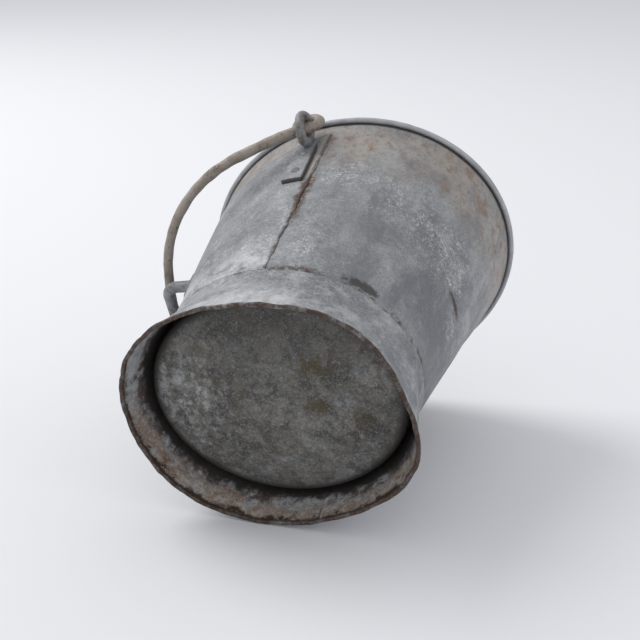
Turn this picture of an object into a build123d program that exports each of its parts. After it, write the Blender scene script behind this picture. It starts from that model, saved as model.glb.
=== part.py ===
from build123d import *
import math
import os

# Galvanised milk pail with a slanted mouth, a swinging bail and a fixed tipping handle.
# Frame: +Z up, foot edge on Z = 0, origin on the pail's axis at the foot edge.
# +X is the pouring side, -X the side with the tipping handle, the ears are on -Y and +Y.
# Every horizontal section of the pail is an oval, a little longer along X than along Y.

# ---- driving dimensions, mm and degrees ----
WALL_FOOT_Z = 36.0          # where the wall ends, above the foot edge
WALL_FOOT_HALF_LENGTH = 117.8     # outer half-lengths of the oval at the wall's end
WALL_FOOT_HALF_WIDTH = 100.2
MOUTH_Z = 314.0             # mouth height on the axis
MOUTH_HALF_LENGTH = 152.5   # outer half-lengths of the oval at mouth height
MOUTH_HALF_WIDTH = 141.5
MOUTH_SLOPE = 7.5           # the mouth rises towards +X
SHEET = 0.9                 # body sheet
FIT = 0.05                  # gap left between two pieces that lie face to face
SEAT_GAP = 0.2              # between the wall's end and the bottom plate's corner

RIM_ROLL_R = 3.1            # rolled edge of the mouth, outside
RIM_WIRE_R = 2.0            # wire inside it
RIM_ROLL_INSET = 0.3        # how far the roll stands proud on the inside of the mouth

JACKET_SHEET = 0.9          # second sheet that wraps the handle side
JACKET_FOOT_Z = 71.0
JACKET_BELOW_MOUTH = 24.0   # its sloping top edge, on the axis
JACKET_TOP_SLOPE = 22.8
JACKET_SEAM_X = 4.0         # its upright edges stand just past the ears
JACKET_SEAM_LEAN = 1.2

FOOT_HALF_LENGTH = 136.3    # outer half-lengths of the foot edge
FOOT_HALF_WIDTH = 116.1
FOOT_SHEET = 1.1
FOOT_COLLAR_Z = 58.0        # the flare ends here and the collar hugs the wall
FOOT_TOP_Z = 70.4
FOOT_ROLL_R = 2.5           # rolled foot edge, outside
FOOT_WIRE_R = 1.6

BOTTOM_SHEET = 1.0
BOTTOM_CENTRE_Z = 21.0      # lowest point of the domed bottom
BOTTOM_CORNER_R = 5.0
BOTTOM_FLANGE = 10.0        # how far its edge reaches up round the wall
BOTTOM_SEAT = 0.4           # how far its corner reaches in under the wall's end
SOLDER_R = 1.5

EAR_X = -10.5               # both ears stand a little behind the axis
EAR_WIDTH = 22.0
EAR_THICK = 3.4
EAR_HEIGHT = 75.0
EAR_ABOVE_EYE = 11.0        # the strap ends this far above the eye's centre
EAR_RIVET_UP = 16.0         # lower rivet above the strap's foot
EAR_RIVET_PITCH = 30.0
EYE_BELOW_MOUTH = 40.0      # centre of the eye
EYE_GAP = 0.85              # between the eye's ring and the jacket
EYE_RING_R = 13.5
EYE_ROD_R = 4.5

BAIL_ROD_R = 4.75
BAIL_CURL_R = 11.3
BAIL_RIM_GAP = 2.0          # the bail passes over the pouring side of the rim this far off
BAIL_LEG_TURN = 13.6        # each leg bends this much, then each shoulder, then the crown
BAIL_SHOULDER_TURN = 59.0
BAIL_SHOULDER_SHARE = 0.643       # shoulder radius as a share of the reach
BAIL_REST = 119.4           # angle from upright to the stored pose, over the handle side

HANDLE_ROD_R = 5.75
HANDLE_HALF_WIDTH = 42.0
HANDLE_BEND_R = 10.0
HANDLE_BAIL_GAP = 0.4       # the stored bail lies on the handle's bar
PALM_WIDTH = 20.0
PALM_THICK = 3.0
PALM_BELOW = 29.0
PALM_ABOVE = 8.0
PALM_RIVET_DOWN = 11.0      # upper rivet below the handle's level
PALM_RIVET_PITCH = 11.0

RIVET_R = 2.4
RIVET_HEAD_R = 4.4
RIVET_HEAD_H = 1.7
RIVET_HOLE_GAP = 0.1

BAND_RIVET_R = 1.5
BAND_RIVET_HEAD_R = 3.0
BAND_RIVET_HEAD_H = 1.1
BAND_RIVET_DOWN = 5.9       # below the band's top edge
BAND_RIVET_ASIDE = 14.0     # from the long axis

# ---- shares and spare lengths that only shape a corner or clear a cut ----
CORNER_SHARE = 0.3          # rounded strap corner, as a share of the strap's width
DOME_SHARE = 0.26           # dome's rise halfway out, as a share of its whole rise
BLOCK = 1000.0              # side of a block that cuts everything on one side
CUT_PAST = 1.0              # a cutting shape runs past the sheet it cuts
HEADROOM = 60.0             # sheets are drawn this much too high, then cut to the slope
LOW_Z = 20.0                # lowest section of a solid taper that trims straps

# ---- values worked out from them ----
WALL_FOOT_AXES = (WALL_FOOT_HALF_LENGTH, WALL_FOOT_HALF_WIDTH)
MOUTH_AXES = (MOUTH_HALF_LENGTH, MOUTH_HALF_WIDTH)
FOOT_AXES = (FOOT_HALF_LENGTH, FOOT_HALF_WIDTH)
HIGH_Z = MOUTH_Z + HEADROOM
JACKET_OUT = FIT + JACKET_SHEET           # jacket's outside, beyond the wall's outside
JACKET_TOP_Z = MOUTH_Z - JACKET_BELOW_MOUTH
EYE_Z = MOUTH_Z - EYE_BELOW_MOUTH
EAR_TOP_Z = EYE_Z + EAR_ABOVE_EYE
EAR_FOOT_Z = EAR_TOP_Z - EAR_HEIGHT
EAR_RIVETS_Z = (EAR_FOOT_Z + EAR_RIVET_UP, EAR_FOOT_Z + EAR_RIVET_UP + EAR_RIVET_PITCH)
HINGE_Z = EYE_Z + EYE_RING_R              # the bail turns on the top of the eyes
BAND_RIVET_Z = FOOT_TOP_Z - BAND_RIVET_DOWN


def axes_at(z):
    """Outer half-lengths of the wall's oval at height z: both grow evenly with height."""
    k = (z - WALL_FOOT_Z) / (MOUTH_Z - WALL_FOOT_Z)
    return tuple(low + (high - low) * k for low, high in zip(WALL_FOOT_AXES, MOUTH_AXES))


def oval(z, grow=0.0):
    a, b = axes_at(z)
    return Plane.XY.offset(z) * Ellipse(a + grow, b + grow)


def taper(z0, z1, grow=0.0):
    """Solid oval frustum on the wall's outer surface, moved out by grow."""
    return loft([oval(z0, grow), oval(z1, grow)], ruled=True)


def shell(z0, z1, inner, outer):
    """Tapered tube from inner to outer, measured outwards from the wall's outer surface."""
    return taper(z0, z1, outer) - taper(z0 - CUT_PAST, z1 + CUT_PAST, inner)


def oval_ring(a, b, radius):
    """Closed round tube on a level oval: a torus stretched along X and pressed along Y."""
    middle = (a + b) / 2
    return scale(Torus(middle, radius), by=(a / middle, b / middle, 1))


def ring_at(z, a, b, radius):
    return Pos(0, 0, z) * oval_ring(a, b, radius)


def slab(z_on_axis, slope_deg, up):
    """Large block that fills everything above (or below) a plane that rises towards +X."""
    block = Pos(0, 0, BLOCK / 2 if up else -BLOCK / 2) * Box(BLOCK, BLOCK, BLOCK)
    return Pos(0, 0, z_on_axis) * Rot(0, -slope_deg, 0) * block


def wall_point(x, z, side, grow=0.0):
    """Point and outward direction on the wall's outer surface moved out by grow; side is the sign of Y."""
    a, b = axes_at(z)
    y = side * b * math.sqrt(1 - (x / a) ** 2)
    slant = -(MOUTH_AXES[1] - WALL_FOOT_AXES[1]) / (MOUTH_Z - WALL_FOOT_Z)
    normal = Vector(x / a**2 * b, y / b, slant).normalized()
    return Vector(x, y, z) + normal * grow, normal


def back_point(y, z, side, grow=0.0):
    """The same on the sides that face along X; side is the sign of X."""
    a, b = axes_at(z)
    x = side * a * math.sqrt(1 - (y / b) ** 2)
    slant = -(MOUTH_AXES[0] - WALL_FOOT_AXES[0]) / (MOUTH_Z - WALL_FOOT_Z)
    normal = Vector(x / a, y / b**2 * a, slant).normalized()
    return Vector(x, y, z) + normal * grow, normal


def rivet(point, normal, grip, shank_r, head_r, head_h):
    """Rivet through a stack grip thick whose outer face is at point: shank and two low round heads."""
    cap_r = (head_r**2 + head_h**2) / (2 * head_h)
    cap = Pos(0, 0, head_h - cap_r) * Sphere(cap_r)
    cap = cap & (Pos(0, 0, head_h / 2) * Cylinder(head_r + CUT_PAST, head_h))
    gap = 2 * FIT
    shank = Pos(0, 0, -grip / 2) * Cylinder(shank_r, grip + 2 * gap)
    body = shank + Pos(0, 0, gap) * cap + Pos(0, 0, -grip - gap) * Rot(180, 0, 0) * cap
    return Plane(origin=point, z_dir=normal) * body


def rivet_hole(point, normal, grip, shank_r):
    hole = Cylinder(shank_r + RIVET_HOLE_GAP, 4 * grip + 8 * CUT_PAST)
    return Plane(origin=point, z_dir=normal) * hole


def rim_span(grow):
    """Back and front X where the slanted mouth plane cuts the taper moved out by grow."""
    rise = math.tan(math.radians(MOUTH_SLOPE))
    spread = (MOUTH_HALF_LENGTH - WALL_FOOT_HALF_LENGTH) / (MOUTH_Z - WALL_FOOT_Z)
    half = MOUTH_HALF_LENGTH + grow
    return -half / (1 + spread * rise), half / (1 - spread * rise)


# ---- places of the eyes, the stored bail, the handle and the rivets ----
eye_seat, _ = wall_point(EAR_X, EYE_Z, 1, JACKET_OUT)
EYE_Y = eye_seat.Y + EYE_GAP + EYE_ROD_R + EYE_RING_R

RIM_GROW = RIM_ROLL_R - SHEET - RIM_ROLL_INSET    # roll's centreline beyond the wall's outside
RIM_FRONT_X = rim_span(RIM_GROW)[1]
RIM_FRONT_Z = MOUTH_Z + RIM_FRONT_X * math.tan(math.radians(MOUTH_SLOPE))
RIM_FAR = math.hypot(RIM_FRONT_X - EAR_X, RIM_FRONT_Z - HINGE_Z) + RIM_ROLL_R
BAIL_REACH = math.sqrt((RIM_FAR + BAIL_RIM_GAP + BAIL_ROD_R) ** 2 - BAIL_CURL_R**2)
BAIL_SHOULDER_R = BAIL_SHOULDER_SHARE * BAIL_REACH

EAR_STACK = JACKET_OUT + FIT + EAR_THICK
ear_rivet_places = {
    side: [wall_point(EAR_X, z, side, EAR_STACK) for z in EAR_RIVETS_Z] for side in (-1, 1)
}

bail_dir = (-math.sin(math.radians(BAIL_REST)), math.cos(math.radians(BAIL_REST)))
bail_down = (-bail_dir[1], bail_dir[0])
crown = (
    EAR_X + BAIL_REACH * bail_dir[0] + BAIL_CURL_R * bail_down[0],
    HINGE_Z + BAIL_REACH * bail_dir[1] + BAIL_CURL_R * bail_down[1],
)
HANDLE_REACH = BAIL_ROD_R + HANDLE_ROD_R + HANDLE_BAIL_GAP
HANDLE_X = crown[0] + HANDLE_REACH * bail_down[0]
HANDLE_Z = crown[1] + HANDLE_REACH * bail_down[1]

PALM_STACK = JACKET_OUT + FIT + PALM_THICK
palm_rivet_places = [
    back_point(side * HANDLE_HALF_WIDTH, HANDLE_Z - below, -1, PALM_STACK)
    for side in (-1, 1)
    for below in (PALM_RIVET_DOWN, PALM_RIVET_DOWN + PALM_RIVET_PITCH)
]
BAND_STACK = FIT + FOOT_SHEET
band_rivet_places = [
    back_point(-side * BAND_RIVET_ASIDE, BAND_RIVET_Z, side, BAND_STACK) for side in (-1, 1)
]


def drill(part, places, grip, shank_r):
    for point, normal in places:
        part = part - rivet_hole(point, normal, grip, shank_r)
    return part


# ---- body ----
def mouth_ring(radius):
    """Tube round the mouth: the oval in which the slanted mouth plane cuts the taper."""
    slope = math.radians(MOUTH_SLOPE)
    back, front = rim_span(RIM_GROW)
    centre_x = (front + back) / 2
    centre_z = MOUTH_Z + centre_x * math.tan(slope)
    a, b = [v + RIM_GROW for v in axes_at(centre_z)]
    half_length = (front - back) / 2 / math.cos(slope)
    half_width = b * math.sqrt(1 - (centre_x / a) ** 2)
    ring = oval_ring(half_length, half_width, radius)
    return Pos(centre_x, 0, centre_z) * Rot(0, -MOUTH_SLOPE, 0) * ring


def body_wall():
    sheet = shell(WALL_FOOT_Z + SEAT_GAP, HIGH_Z, -SHEET, 0.0)
    sheet = sheet - slab(MOUTH_Z, MOUTH_SLOPE, up=True)
    wall = sheet + mouth_ring(RIM_ROLL_R)
    wall = wall - mouth_ring(RIM_WIRE_R + FIT)
    for places in ear_rivet_places.values():
        wall = drill(wall, places, EAR_STACK, RIVET_R)
    wall = drill(wall, palm_rivet_places, PALM_STACK, RIVET_R)
    return drill(wall, band_rivet_places, BAND_STACK, BAND_RIVET_R)


def back_jacket():
    sheet = shell(JACKET_FOOT_Z, MOUTH_Z, FIT, JACKET_OUT)
    sheet = sheet - slab(JACKET_TOP_Z, JACKET_TOP_SLOPE, up=True)
    front = Pos(BLOCK / 2, 0, 0) * Box(BLOCK, BLOCK, BLOCK)
    sheet = sheet - Pos(JACKET_SEAM_X, 0, JACKET_FOOT_Z) * Rot(0, JACKET_SEAM_LEAN, 0) * front
    for places in ear_rivet_places.values():
        sheet = drill(sheet, places, EAR_STACK, RIVET_R)
    return drill(sheet, palm_rivet_places, PALM_STACK, RIVET_R)


# ---- foot ----
def foot_oval(z, grow):
    """Section of the flared band: foot oval below, the wall's own oval where the collar starts."""
    k = (z - FOOT_ROLL_R) / (FOOT_COLLAR_Z - FOOT_ROLL_R)
    low = [v - FOOT_ROLL_R + FOOT_SHEET / 2 for v in FOOT_AXES]
    high = [v + FIT + FOOT_SHEET for v in axes_at(FOOT_COLLAR_Z)]
    a, b = [p + (q - p) * k + grow for p, q in zip(low, high)]
    return Plane.XY.offset(z) * Ellipse(a, b)


def foot_band():
    low, high = FOOT_ROLL_R, FOOT_COLLAR_Z
    flare = loft([foot_oval(low, 0), foot_oval(high, 0)], ruled=True)
    hollow = [foot_oval(low - CUT_PAST, -FOOT_SHEET), foot_oval(high + CUT_PAST, -FOOT_SHEET)]
    flare = flare - loft(hollow, ruled=True)
    collar = shell(FOOT_COLLAR_Z, FOOT_TOP_Z, FIT, FIT + FOOT_SHEET)
    a, b = [v - FOOT_ROLL_R for v in FOOT_AXES]
    band = flare + collar + ring_at(FOOT_ROLL_R, a, b, FOOT_ROLL_R)
    band = band - ring_at(FOOT_ROLL_R, a, b, FOOT_WIRE_R + FIT)
    return drill(band, band_rivet_places, BAND_STACK, BAND_RIVET_R)


def foot_wire():
    a, b = [v - FOOT_ROLL_R for v in FOOT_AXES]
    return ring_at(FOOT_ROLL_R, a, b, FOOT_WIRE_R)


def bottom_plate():
    """Domed plate, hollow side up, whose edge turns up round the outside of the wall's end."""
    top = WALL_FOOT_Z
    a, edge = [v + FIT + BOTTOM_SHEET for v in axes_at(top)]
    rise = top - BOTTOM_CORNER_R - BOTTOM_CENTRE_Z
    half_rise = rise * DOME_SHARE
    knee = edge - BOTTOM_CORNER_R
    low, high = BOTTOM_CENTRE_Z, BOTTOM_CENTRE_Z + BOTTOM_SHEET
    under = ThreePointArc((0, low), (knee / 2, low + half_rise), (knee, low + rise))
    corner = JernArc((knee, low + rise), (1, 0), BOTTOM_CORNER_R, 90)
    seat = edge - BOTTOM_SHEET - BOTTOM_SEAT
    lip = Line((edge, top), (seat, top))
    drop = Line((seat, top), (seat, high + rise + seat - knee))
    back = JernArc(drop @ 1, (0, -1), seat - knee, -90)
    over = ThreePointArc((knee, high + rise), (knee / 2, high + half_rise), (0, high))
    face = make_face([under, corner, lip, drop, back, over, Line((0, high), (0, low))])
    cap = scale(revolve(Plane.XZ * face, axis=Axis.Z), by=(a / edge, 1, 1))
    return cap + shell(top, top + BOTTOM_FLANGE, FIT, FIT + BOTTOM_SHEET)


def bottom_solder():
    z = WALL_FOOT_Z + 2 * SOLDER_R
    a, b = [v - SHEET - SOLDER_R - 2 * FIT for v in axes_at(z - SOLDER_R)]
    return ring_at(z, a, b, SOLDER_R)


# ---- ears and bail ----
def ear(side):
    """Flat strap on the jacket whose upper end is forged into an eye that stands off the wall."""
    middle = (EAR_TOP_Z + EAR_FOOT_Z) / 2
    blank = Box(EAR_WIDTH, MOUTH_HALF_WIDTH, EAR_HEIGHT)
    blank = Pos(EAR_X, side * MOUTH_HALF_WIDTH, middle) * blank
    blank = fillet(blank.edges().filter_by(Axis.Y).group_by(Axis.Z)[-1], EAR_WIDTH * CORNER_SHARE)
    strap = blank & taper(LOW_Z, HIGH_Z, EAR_STACK)
    eye = Pos(EAR_X, side * EYE_Y, EYE_Z) * Rot(0, 90, 0) * Torus(EYE_RING_R, EYE_ROD_R)
    whole = (strap + eye) - taper(LOW_Z, HIGH_Z, JACKET_OUT + FIT)
    return drill(whole, ear_rivet_places[side], EAR_STACK, RIVET_R)


def bail():
    """Round rod bent to an arch of tangent arcs; each end is curled into a closed ring."""
    leg = math.radians(BAIL_LEG_TURN)
    knee = leg + math.radians(BAIL_SHOULDER_TURN)
    across = EYE_Y - BAIL_SHOULDER_R * (math.cos(leg) - math.cos(knee))
    along = BAIL_REACH - BAIL_SHOULDER_R * (math.sin(knee) - math.sin(leg))
    # leg and crown radii that give the wanted width and reach
    det = (1 - math.cos(leg)) * (1 - math.sin(knee)) - math.cos(knee) * math.sin(leg)
    leg_r = (across * (1 - math.sin(knee)) - math.cos(knee) * along) / det
    crown_r = ((1 - math.cos(leg)) * along - across * math.sin(leg)) / det
    crown_turn = 180 - 2 * (BAIL_LEG_TURN + BAIL_SHOULDER_TURN)
    half = [(leg_r, BAIL_LEG_TURN), (BAIL_SHOULDER_R, BAIL_SHOULDER_TURN)]
    arcs = []
    point, heading = Vector(EYE_Y, 0), Vector(0, 1)
    for radius, turn in half + [(crown_r, crown_turn)] + half[::-1]:
        arcs.append(JernArc(point, heading, radius, turn))
        point, heading = arcs[-1] @ 1, arcs[-1] % 1
    rod = sweep(Plane(origin=(EYE_Y, 0, 0), z_dir=(0, 1, 0)) * Circle(BAIL_ROD_R), path=Wire(arcs))
    whole = Pos(0, 0, -BAIL_CURL_R) * rod
    for side in (-1, 1):
        whole = whole + Pos(side * EYE_Y, 0, 0) * Rot(0, 90, 0) * Torus(BAIL_CURL_R, BAIL_ROD_R)
    hinge_z = (-bail_down[0], 0, -bail_down[1])
    return Plane(origin=(EAR_X, 0, HINGE_Z), x_dir=(0, 1, 0), z_dir=hinge_z) * whole


# ---- tipping handle ----
def tipping_handle():
    """Rod bent to a level D; each leg ends in a flattened palm that hangs down on the jacket."""
    w = HANDLE_HALF_WIDTH
    root = back_point(w, HANDLE_Z, -1)[0].X + 2 * HANDLE_ROD_R
    corners = [(root, -w), (HANDLE_X, -w), (HANDLE_X, w), (root, w)]
    path = FilletPolyline(*[(x, y, HANDLE_Z) for x, y in corners], radius=HANDLE_BEND_R)
    whole = sweep(Plane(origin=path @ 0, z_dir=path % 0) * Circle(HANDLE_ROD_R), path=path)
    middle = HANDLE_Z + (PALM_ABOVE - PALM_BELOW) / 2
    for side in (-1, 1):
        blank = Box(MOUTH_HALF_LENGTH, PALM_WIDTH, PALM_BELOW + PALM_ABOVE)
        blank = Pos(-MOUTH_HALF_LENGTH, side * w, middle) * blank
        blank = fillet(blank.edges().filter_by(Axis.X), PALM_WIDTH * CORNER_SHARE)
        whole = whole + (blank & taper(LOW_Z, HIGH_Z, PALM_STACK))
    whole = whole - taper(LOW_Z, HIGH_Z, JACKET_OUT + FIT)
    return drill(whole, palm_rivet_places, PALM_STACK, RIVET_R)


def rivets(places, stack, shank_r, head_r, head_h):
    grip = stack + SHEET
    return [rivet(point, normal, grip, shank_r, head_r, head_h) for point, normal in places]


def write(name, shape):
    solids = []
    for piece in shape if isinstance(shape, list) else [shape]:
        solids += piece.solids()
    whole = solids[0] if len(solids) == 1 else Compound(children=solids)
    whole.label = name
    export_step(whole, f"parts/{name}.step")


os.makedirs("parts", exist_ok=True)
write("body_wall", body_wall())
write("rim_wire", mouth_ring(RIM_WIRE_R))
write("back_jacket", back_jacket())
write("foot_band", foot_band())
write("foot_wire", foot_wire())
write("bottom_plate", bottom_plate())
write("bottom_solder", bottom_solder())
write("ear_right", ear(-1))
write("ear_left", ear(1))
ear_rivet = (EAR_STACK, RIVET_R, RIVET_HEAD_R, RIVET_HEAD_H)
write("ear_rivets_right", rivets(ear_rivet_places[-1], *ear_rivet))
write("ear_rivets_left", rivets(ear_rivet_places[1], *ear_rivet))
write("bail", bail())
write("tipping_handle", tipping_handle())
write("handle_rivets", rivets(palm_rivet_places, PALM_STACK, RIVET_R, RIVET_HEAD_R, RIVET_HEAD_H))
write("foot_band_rivets",
      rivets(band_rivet_places, BAND_STACK, BAND_RIVET_R, BAND_RIVET_HEAD_R, BAND_RIVET_HEAD_H))
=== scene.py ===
"""Milk pail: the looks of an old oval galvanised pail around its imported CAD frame.

Lengths are in metres in the CAD's own frame: +Z up to the mouth, +X to the pouring side,
the tipping handle on -X and the ears on -Y and +Y. The bail lies back on the tipping handle.
"""

import functools
import math

import bpy
import numpy as np
from bpy.props import FloatProperty, FloatVectorProperty, IntProperty, PointerProperty
from mathutils import Matrix, Vector


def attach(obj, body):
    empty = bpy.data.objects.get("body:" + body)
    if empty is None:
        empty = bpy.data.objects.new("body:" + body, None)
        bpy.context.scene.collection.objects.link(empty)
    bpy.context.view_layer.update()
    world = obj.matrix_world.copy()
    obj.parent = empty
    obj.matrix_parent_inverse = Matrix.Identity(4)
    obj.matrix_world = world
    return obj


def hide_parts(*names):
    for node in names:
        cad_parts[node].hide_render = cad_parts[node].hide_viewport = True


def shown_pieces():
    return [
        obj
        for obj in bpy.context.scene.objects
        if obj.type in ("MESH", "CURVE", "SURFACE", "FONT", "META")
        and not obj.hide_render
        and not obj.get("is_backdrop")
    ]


bl_info = {
    "name": "Galvanised milk pail",
    "version": (1, 0, 0),
    "blender": (4, 5, 0),
    "location": "View3D > Sidebar > Pail",
    "description": "Builds an old galvanised milk pail piece by piece, with its finishes and a plain stage",
    "category": "Add Mesh",
}

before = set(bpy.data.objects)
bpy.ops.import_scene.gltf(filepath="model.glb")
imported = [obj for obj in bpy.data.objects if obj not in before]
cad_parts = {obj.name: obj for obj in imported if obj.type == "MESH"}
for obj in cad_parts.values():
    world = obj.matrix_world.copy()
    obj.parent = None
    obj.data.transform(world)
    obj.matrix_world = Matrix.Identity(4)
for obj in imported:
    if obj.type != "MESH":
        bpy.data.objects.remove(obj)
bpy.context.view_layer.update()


def length(name, description, default):
    return FloatProperty(name=name, description=description, default=default, unit="LENGTH", precision=5)


def amount(name, description, default):
    return FloatProperty(name=name, description=description, default=default)


def angle(name, description, degrees):
    return FloatProperty(name=name, description=description, default=math.radians(degrees), subtype="ANGLE")


def colour(name, description, default):
    return FloatVectorProperty(name=name, description=description, default=default, size=3,
                               min=0.0, max=1.0, subtype="COLOR")


class PailSizes(bpy.types.PropertyGroup):
    """Sizes of the pail's pieces; they repeat the CAD's values."""

    wall_foot_z: length("Wall end height", "Where the wall ends above the foot edge", 0.036)
    wall_foot_half_length: length("Wall end half-length", "Outer half-length of the lower oval", 0.1178)
    wall_foot_half_width: length("Wall end half-width", "Outer half-width of the lower oval", 0.1002)
    mouth_z: length("Mouth height", "Height of the mouth on the axis", 0.314)
    mouth_half_length: length("Mouth half-length", "Outer half-length of the oval at mouth height", 0.1525)
    mouth_half_width: length("Mouth half-width", "Outer half-width of the oval at mouth height", 0.1415)
    mouth_slope: angle("Mouth slope", "How far the mouth rises towards the pouring side", 7.5)
    sheet: length("Sheet", "Thickness of the wall", 0.0009)
    roll: length("Mouth roll radius", "Radius of the rolled mouth edge", 0.0031)
    roll_inset: length("Mouth roll inset", "How far the roll stands proud inside the mouth", 0.0003)
    fit: length("Fit", "Gap between pieces that lie face to face", 0.00005)
    seat_gap: length("Wall seat gap", "Gap between the wall's end and the bottom plate", 0.0002)

    jacket_sheet: length("Jacket sheet", "Thickness of the jacket", 0.0009)
    jacket_foot_z: length("Jacket foot", "Height of the jacket's lower edge", 0.071)
    jacket_top_z: length("Jacket top", "Height of its sloping top edge on the axis", 0.290)
    jacket_slope: angle("Jacket slope", "Slope of its top edge towards the pouring side", 22.8)
    jacket_seam_x: length("Jacket seam", "Where its upright edges stand along the length", 0.004)
    jacket_lean: angle("Jacket seam lean", "How far the upright edges lean", 1.2)

    foot_half_length: length("Foot half-length", "Outer half-length of the foot edge", 0.1363)
    foot_half_width: length("Foot half-width", "Outer half-width of the foot edge", 0.1161)
    foot_sheet: length("Foot sheet", "Thickness of the foot band", 0.0011)
    collar_z: length("Collar height", "Where the flare ends and the collar starts", 0.058)
    foot_top_z: length("Foot band height", "Height of the foot band's top edge", 0.0704)
    foot_roll: length("Foot roll radius", "Radius of the rolled foot edge", 0.0025)

    bottom_sheet: length("Bottom sheet", "Thickness of the bottom plate", 0.001)
    bottom_centre_z: length("Bottom centre height", "Lowest point of the domed bottom", 0.021)
    bottom_corner: length("Bottom corner radius", "Radius of the bottom plate's corner", 0.005)
    bottom_flange: length("Bottom flange", "How far the plate's edge reaches up round the wall", 0.010)

    ear_x: length("Ear place", "Place of the ears along the length", -0.0105)
    ear_width: length("Ear width", "Width of the ear's strap", 0.022)
    ear_thick: length("Ear thickness", "Thickness of the ear's strap", 0.0034)
    ear_foot_z: length("Ear foot height", "Height of the strap's foot", 0.210)
    ear_top_z: length("Ear top height", "Height of the strap's top", 0.285)
    eye_y: length("Eye distance", "Centre of the eye from the axis", 0.1550013)
    eye_z: length("Eye height", "Height of the eye's centre", 0.274)
    eye_ring: length("Eye ring radius", "Radius of the eye's centre line", 0.0135)
    eye_rod: length("Eye rod radius", "Radius of the rod that forms the eye", 0.0045)
    eye_swell: length("Eye swell", "How much stouter the hammered ring is than its rod", 0.0004)

    bail_rod: length("Bail rod radius", "Radius of the bail's rod", 0.00475)
    bail_curl: length("Bail curl radius", "Radius of the closed curl at each end", 0.0113)
    bail_reach: length("Bail reach", "Hinge axis to the crown's centre line", 0.183497)
    bail_leg_turn: angle("Bail leg turn", "How far each leg bends", 13.6)
    bail_shoulder_turn: angle("Bail shoulder turn", "How far each shoulder bends", 59.0)
    bail_shoulder: length("Bail shoulder radius", "Radius of each shoulder", 0.117989)
    bail_rest: angle("Bail rest angle", "From upright to the stored pose", 119.4)

    grip_rod: length("Tipping handle rod radius", "Radius of the tipping handle's rod", 0.00575)
    grip_half_width: length("Tipping handle half-width", "Centre line of each leg from the middle", 0.042)
    grip_bend: length("Tipping handle bend", "Radius of its bends", 0.010)
    grip_x: length("Tipping handle place", "Centre line of the bar along the length", -0.1594671)
    grip_z: length("Tipping handle height", "Height of the bar", 0.1780797)
    palm_width: length("Palm width", "Width of each flattened palm", 0.020)
    palm_thick: length("Palm thickness", "Thickness of each palm", 0.003)
    palm_below: length("Palm below", "How far a palm hangs below the bar", 0.029)
    palm_above: length("Palm above", "How far a palm stands above the bar", 0.008)

    around: IntProperty(name="Steps around", description="Mesh steps round the pail", default=360, min=24)
    tall: IntProperty(name="Steps up", description="Mesh steps up the wall", default=96, min=8)


class PailColours(bpy.types.PropertyGroup):
    """Colours of the pail's finishes."""

    zinc: colour("Zinc", "Dull blue-grey zinc", (0.288, 0.298, 0.310))
    # Also laid on as painted shade on the wall and the foot band.
    zinc_dark: colour("Dark zinc", "Weathered patches of the zinc", (0.165, 0.174, 0.185))
    zinc_pale: colour("Pale zinc", "Rubbed and bleached zinc", (0.470, 0.480, 0.490))
    # Also laid on the foot band's outside as a painted highlight.
    chalk: colour("Chalk", "White corrosion on the zinc", (0.640, 0.650, 0.665))
    cream: colour("Cream stain", "Creamy stain below the rim", (0.400, 0.355, 0.312))
    tan: colour("Tan stain", "Rusty tan stain inside the foot", (0.300, 0.218, 0.160))
    rust: colour("Rust", "Brown rust", (0.078, 0.046, 0.032))
    rust_bright: colour("Bright rust", "Orange-brown stain", (0.245, 0.160, 0.108))
    # Used both for real grime, scuffs and pits and for painted shade and shadow in gaps, corners and along
    # edges.
    grime_and_shade: colour("Grime", "Dark grime in corners and scuffs", (0.030, 0.027, 0.024))
    bottom: colour("Bottom", "Dark weathered bottom plate", (0.168, 0.166, 0.152))
    iron: colour("Iron", "Grey-brown iron of the ears", (0.170, 0.150, 0.128))
    bail: colour("Bail", "Worn zinc over brown on the bail", (0.290, 0.240, 0.196))
    grip: colour("Tipping handle", "Cooler grey of the tipping handle", (0.230, 0.240, 0.252))


class PailStage(bpy.types.PropertyGroup):
    """Floor, lights and camera."""

    floor_tilt: angle("Floor tilt", "Camera's pitch above the floor that the pail lies on", 19.8)
    floor_size: length("Floor size", "Half-side of the floor", 16.0)
    floor: colour("Floor", "Pale floor", (0.87, 0.875, 0.90))
    world: colour("World", "Pale surroundings", (0.86, 0.87, 0.90))
    world_strength: amount("World strength", "Light from the surroundings", 0.75)
    key_power: amount("Key power", "Power of the large soft light, in watts", 90.0)
    fill_power: amount("Fill power", "Power of the second soft light, in watts", 3.0)
    lens: amount("Lens", "Focal length in millimetres", 67.5)


# ---- surfaces ----
def full_turn(steps):
    """Angles of even steps once round a circle."""
    return np.linspace(0, 2 * np.pi, steps, endpoint=False)


def stacked(x, y, z):
    """Points from three arrays of coordinates that fit together."""
    return np.stack(np.broadcast_arrays(x, y, z), -1)


def oval_axes(s, z):
    """Outer half-length and half-width of the wall at height z; both grow evenly with height."""
    k = (z - s.wall_foot_z) / (s.mouth_z - s.wall_foot_z)
    a = s.wall_foot_half_length + k * (s.mouth_half_length - s.wall_foot_half_length)
    b = s.wall_foot_half_width + k * (s.mouth_half_width - s.wall_foot_half_width)
    return a, b


def lumps(points, size, seed):
    """Smooth random field of about unit spread: thirty cosine waves whose directions are
    drawn once from the seed and whose wavelengths lie near size."""
    rng = np.random.default_rng(seed)
    waves = rng.normal(size=(30, 3))
    waves *= (2 * np.pi / size) * rng.uniform(0.6, 1.4, (30, 1)) / np.linalg.norm(waves, axis=1)[:, None]
    phase = rng.uniform(0, 2 * np.pi, 30)
    return np.cos(points @ waves.T + phase).sum(-1) * math.sqrt(2 / 30)


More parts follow.
